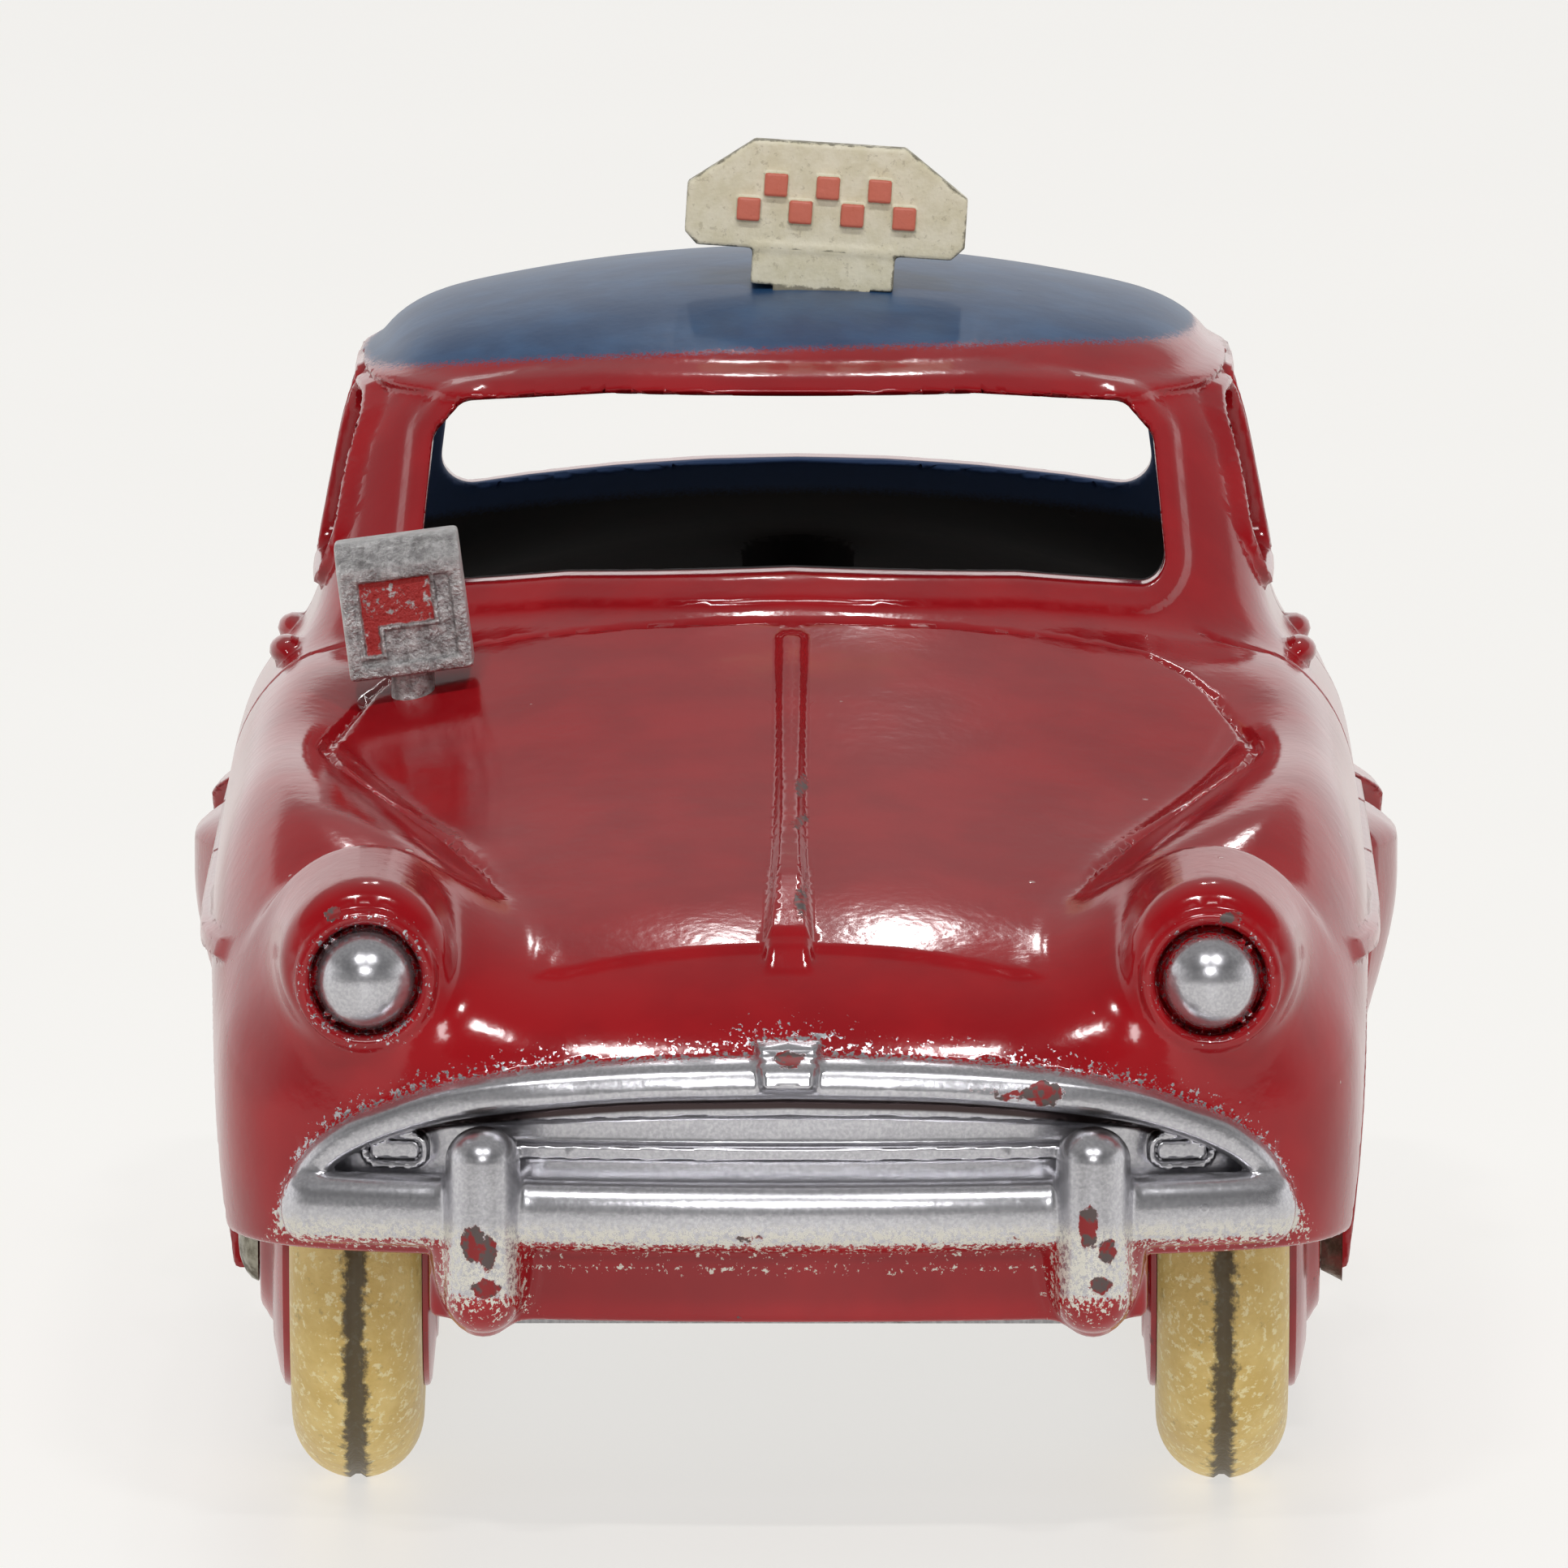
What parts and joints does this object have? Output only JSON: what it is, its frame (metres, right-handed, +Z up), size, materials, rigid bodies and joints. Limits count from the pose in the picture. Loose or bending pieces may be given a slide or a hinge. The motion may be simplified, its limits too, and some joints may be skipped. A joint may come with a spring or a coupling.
{
  "type": "toy taxi",
  "caption": "Small die-cast toy saloon taxi with open windows, a roof sign, a meter box on the scuttle and free-turning rubber-tyred wheels on steel axles.",
  "frame": {"origin": "on the ground under the middle of the overall box", "axes": "+Z up, nose towards -Y, +X to the right of a viewer who faces the nose"},
  "size_m": [0.038, 0.095, 0.0374],
  "materials": {
    "body_paint": "gloss red enamel, with a blue roof and silver lamps, grille and bumper",
    "tin": "pressed tin, dull",
    "axle_steel": "drawn steel, dulled",
    "hub_paint": "gloss red enamel",
    "tyre_rubber": "aged tan rubber",
    "sign_paint": "worn cream enamel with an orange-red chequer",
    "meter_metal": "bare grey casting with a red flag on its face"
  },
  "bodies": {
    "car": {"body_shell": "body_paint", "base_plate": "tin", "roof_sign": "sign_paint", "taxi_meter": "meter_metal"},
    "front_axle": {"front_axle": "axle_steel"},
    "rear_axle": {"rear_axle": "axle_steel"},
    "front_left": {"front_left_wheel": "hub_paint", "front_left_tyre": "tyre_rubber"},
    "front_right": {"front_right_wheel": "hub_paint", "front_right_tyre": "tyre_rubber"},
    "rear_left": {"rear_left_wheel": "hub_paint", "rear_left_tyre": "tyre_rubber"},
    "rear_right": {"rear_right_wheel": "hub_paint", "rear_right_tyre": "tyre_rubber"}
  },
  "joints": [
    {"name": "front_axle_turn", "type": "hinge", "parent": "car", "child": "front_axle", "pos_m": [0, -0.0305, 0.00725], "axis": [1, 0, 0], "continuous": true},
    {"name": "rear_axle_turn", "type": "hinge", "parent": "car", "child": "rear_axle", "pos_m": [0, 0.026, 0.00725], "axis": [1, 0, 0], "continuous": true},
    {"name": "front_left_spin", "type": "hinge", "parent": "front_axle", "child": "front_left", "pos_m": [-0.01283, -0.0305, 0.00725], "axis": [1, 0, 0], "continuous": true},
    {"name": "front_right_spin", "type": "hinge", "parent": "front_axle", "child": "front_right", "pos_m": [0.01283, -0.0305, 0.00725], "axis": [1, 0, 0], "continuous": true},
    {"name": "rear_left_spin", "type": "hinge", "parent": "rear_axle", "child": "rear_left", "pos_m": [-0.01283, 0.026, 0.00725], "axis": [1, 0, 0], "continuous": true},
    {"name": "rear_right_spin", "type": "hinge", "parent": "rear_axle", "child": "rear_right", "pos_m": [0.01283, 0.026, 0.00725], "axis": [1, 0, 0], "continuous": true}
  ]
}
